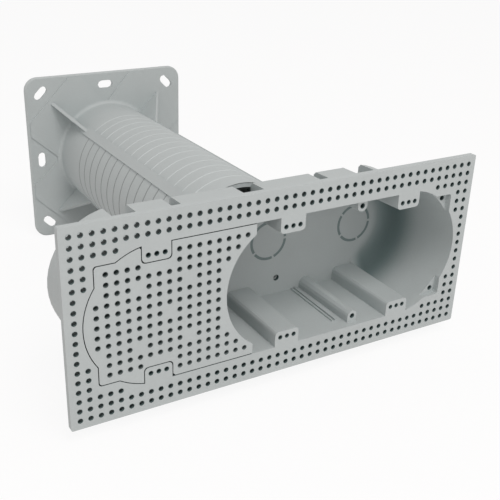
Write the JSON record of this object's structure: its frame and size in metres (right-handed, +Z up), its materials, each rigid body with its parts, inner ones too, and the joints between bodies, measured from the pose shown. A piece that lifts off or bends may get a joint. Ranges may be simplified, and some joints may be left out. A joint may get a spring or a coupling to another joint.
{
  "type": "flush mounting box",
  "caption": "Deep-wall flush mounting box: perforated front plate with a three-gang tub, one gang closed by a filler plate, on a tube bracket with a square wall flange",
  "frame": {"origin": "on the tube's axis, in the wall face of the bracket's flange", "axes": "+X along the front plate, towards the open gangs; +Y into the wall, against the direction the box faces; +Z up"},
  "size_m": [0.229, 0.2425, 0.115],
  "materials": {
    "box_plastic": "light neutral grey moulded plastic, fine matte",
    "filler_plastic": "light neutral grey moulded plastic, fine matte",
    "bracket_plastic": "light neutral grey moulded plastic, fine matte"
  },
  "bodies": {
    "root": {"front_box": "box_plastic", "filler_plate": "filler_plastic", "wall_bracket": "bracket_plastic"}
  },
  "joints": []
}
